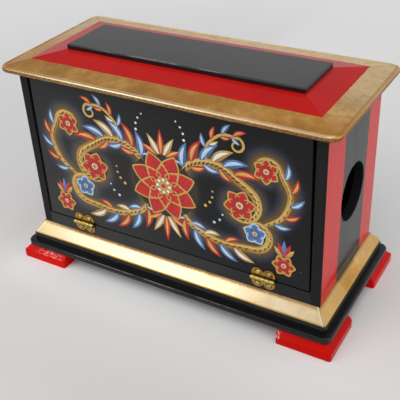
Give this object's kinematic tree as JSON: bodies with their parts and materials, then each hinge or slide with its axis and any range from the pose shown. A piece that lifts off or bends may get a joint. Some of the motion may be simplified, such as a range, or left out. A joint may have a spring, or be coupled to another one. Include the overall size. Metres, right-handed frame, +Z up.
{
  "type": "jack in the box",
  "caption": "Lacquered wooden box on block feet with a drop-down painted front, round end holes and a bevelled hinged lid; a turned figure on a coil spring rises as the lid opens.",
  "frame": {"origin": "middle of the footprint on the floor plane under the feet", "axes": "+X along the width to the right of a person facing the painted door, -Y out of the door, +Z up"},
  "size_m": [0.338, 0.1612, 0.221],
  "materials": {
    "red_lacquer": "red gloss lacquer on wood; the end boards carry a black stripe and the lid a gilt border",
    "black_lacquer": "black satin lacquer on wood; the door carries a painted design",
    "inside_black": "flat black paint on wood",
    "gold_leaf": "burnished gold leaf over a red-brown ground on wood",
    "brass": "polished brass",
    "steel": "bright drawn steel",
    "jack_red": "red gloss paint on turned wood",
    "jack_black": "black gloss paint on turned wood",
    "jack_cream": "cream paint on wood",
    "jack_wood": "clear-varnished turned wood with a painted face",
    "jack_gold": "gilt wooden bead"
  },
  "bodies": {
    "case": {"foot_front_left": "red_lacquer", "foot_front_right": "red_lacquer", "foot_rear_left": "red_lacquer", "foot_rear_right": "red_lacquer", "foot_screws": "steel", "base_board": "black_lacquer", "base_screws": "steel", "base_moulding_front": "gold_leaf", "base_moulding_rear": "gold_leaf", "base_moulding_left": "gold_leaf", "base_moulding_right": "gold_leaf", "end_board_left": "red_lacquer", "end_board_right": "red_lacquer", "back_panel": "black_lacquer", "bottom_rail": "black_lacquer", "floor_panel": "inside_black", "door_stop_left": "inside_black", "door_stop_right": "inside_black", "door_magnets": "steel", "lid_magnets": "steel", "rail_leaf_left": "brass", "rail_leaf_right": "brass", "rail_leaf_screws": "brass", "door_hinge_pin_left": "brass", "door_hinge_pin_right": "brass", "back_leaf_left": "brass", "back_leaf_right": "brass", "back_leaf_screws": "brass", "lid_hinge_pin_left": "brass", "lid_hinge_pin_right": "brass", "spring_seat": "inside_black", "seat_screws": "steel", "jack_spring": "steel"},
    "door": {"door_panel": "black_lacquer", "door_strikes": "steel", "door_leaf_left": "brass", "door_leaf_right": "brass", "door_leaf_screws": "brass"},
    "lid": {"lid_board": "red_lacquer", "lid_plate": "black_lacquer", "lid_strikes": "steel", "lid_leaf_left": "brass", "lid_leaf_right": "brass", "lid_leaf_screws": "brass"},
    "jack": {"jack_torso": "jack_red", "jack_ruff": "jack_cream", "jack_head": "jack_wood", "jack_nose": "jack_red", "jack_hat": "jack_black", "hat_bobble": "jack_gold"}
  },
  "joints": [
    {"name": "door_drop", "type": "hinge", "parent": "case", "child": "door", "pos_m": [0, -0.0639, 0.0518], "axis": [1, 0, 0], "range_deg": [0, 110]},
    {"name": "lid_lift", "type": "hinge", "parent": "case", "child": "lid", "pos_m": [0, 0.0639, 0.2016], "axis": [-1, 0, 0], "range_deg": [0, 100]},
    {"name": "jack_pop", "type": "slide", "parent": "case", "child": "jack", "axis": [0, 0, 1], "range_m": [0, 0.088], "deforming": ["jack_spring"]}
  ],
  "couplings": [
    {"joint": "jack_pop", "follows": "lid_lift", "m_per_rad": 0.0504}
  ]
}
